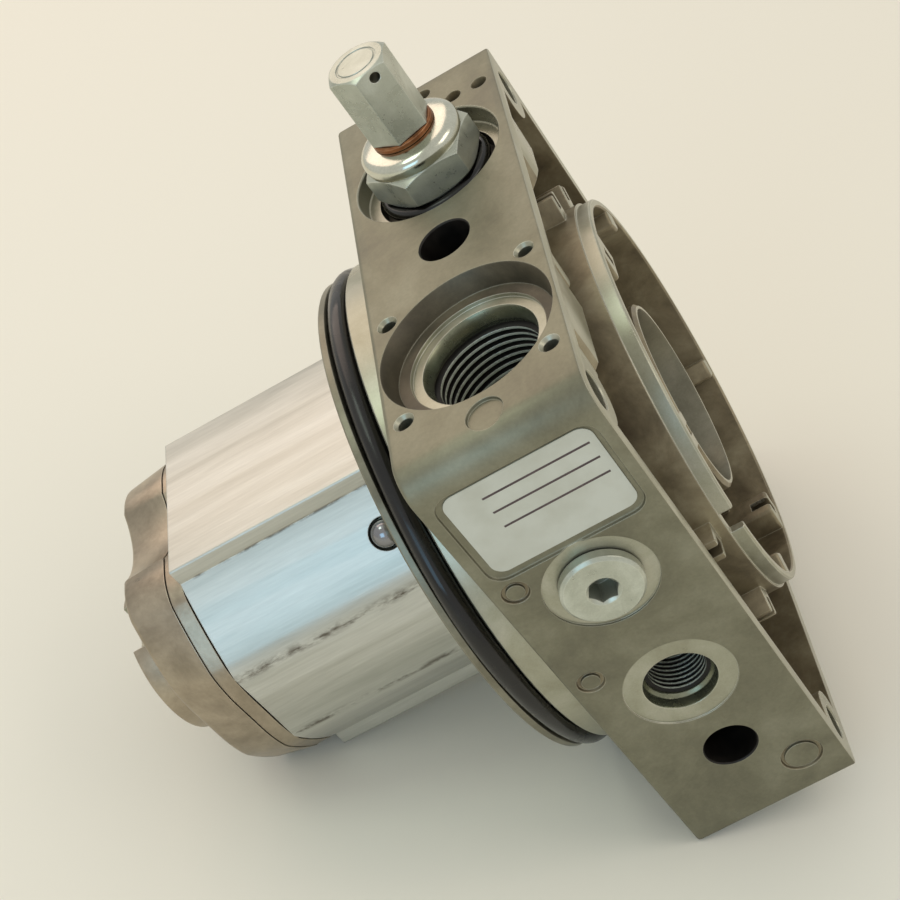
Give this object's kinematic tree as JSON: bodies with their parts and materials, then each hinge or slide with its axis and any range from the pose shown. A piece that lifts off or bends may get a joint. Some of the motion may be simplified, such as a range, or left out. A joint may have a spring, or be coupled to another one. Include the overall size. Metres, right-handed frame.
{
  "type": "hydraulic gear pump with manifold",
  "caption": "Gear pump clamped to a square cast manifold with a relief valve, a plugged gauge port, threaded ports and a tank flange seal.",
  "frame": {"origin": "centre of the drive shaft's end face, on the pump axis in the plane of the motor face", "axes": "+X along the pump shaft towards the motor, +Z out of the face that holds the relief valve, -Y out of the face with the gauge port"},
  "size_m": [0.144, 0.1378, 0.1648],
  "materials": {
    "cast_aluminium": "die cast, machined on its faces, oily and stained",
    "extruded_aluminium": "extruded, brushed on top",
    "cover_aluminium": "cast, dull",
    "bearing_aluminium": "turned and milled",
    "ground_steel": "ground and hardened",
    "spring_steel": "drawn wire",
    "zinc_plated": "zinc plated",
    "copper": "stamped copper ring",
    "black_rubber": "nitrile rubber, oily"
  },
  "bodies": {
    "housing": {"manifold_block": "cast_aluminium", "tank_o_ring": "black_rubber", "pump_body": "extruded_aluminium", "body_plug_ball": "ground_steel", "pump_end_plate": "cover_aluminium", "pump_end_cover": "cover_aluminium", "pump_bolt_1": "ground_steel", "pump_bolt_2": "ground_steel", "pump_bolt_3": "ground_steel", "pump_bolt_4": "ground_steel", "dowel_pin_front": "ground_steel", "dowel_pin_back": "ground_steel", "front_bearing_block": "bearing_aluminium", "rear_bearing_block": "bearing_aluminium", "front_face_seal": "black_rubber", "rear_face_seal": "black_rubber", "shaft_seal": "black_rubber", "relief_valve_body": "zinc_plated", "relief_o_ring": "black_rubber", "relief_copper_washer": "copper", "relief_valve_cap": "zinc_plated", "relief_spring": "spring_steel", "port_m_plug": "zinc_plated", "port_m_seal_ring": "black_rubber"},
    "drive_gear": {"drive_gear_shaft": "ground_steel"},
    "driven_gear": {"driven_gear_shaft": "ground_steel"},
    "spring_seat": {"relief_spring_seat": "ground_steel"},
    "adjusting_screw": {"relief_adjusting_screw": "ground_steel"},
    "poppet": {"relief_poppet": "ground_steel"}
  },
  "joints": [
    {"name": "drive_shaft_spin", "type": "hinge", "parent": "housing", "child": "drive_gear", "pos_m": [0, 0, 0], "axis": [1, 0, 0], "continuous": true},
    {"name": "driven_gear_spin", "type": "hinge", "parent": "housing", "child": "driven_gear", "pos_m": [-0.085, 0.022, 0], "axis": [1, 0, 0], "continuous": true},
    {"name": "poppet_lift", "type": "slide", "parent": "housing", "child": "poppet", "axis": [0, 0, 1], "range_m": [0, 0.001], "stiffness_N_per_m": 20000, "deforming": ["relief_spring"]},
    {"name": "spring_seat_slide", "type": "slide", "parent": "housing", "child": "spring_seat", "axis": [0, 0, 1], "range_m": [-0.001, 0.001]},
    {"name": "adjusting_screw_turn", "type": "hinge", "parent": "spring_seat", "child": "adjusting_screw", "pos_m": [-0.021, 0.0337, 0.07], "axis": [0, 0, 1], "range_deg": [-360, 360]}
  ],
  "couplings": [
    {"joint": "driven_gear_spin", "follows": "drive_shaft_spin", "ratio": -1},
    {"joint": "adjusting_screw_turn", "follows": "spring_seat_slide", "rad_per_m": 6283.2}
  ]
}
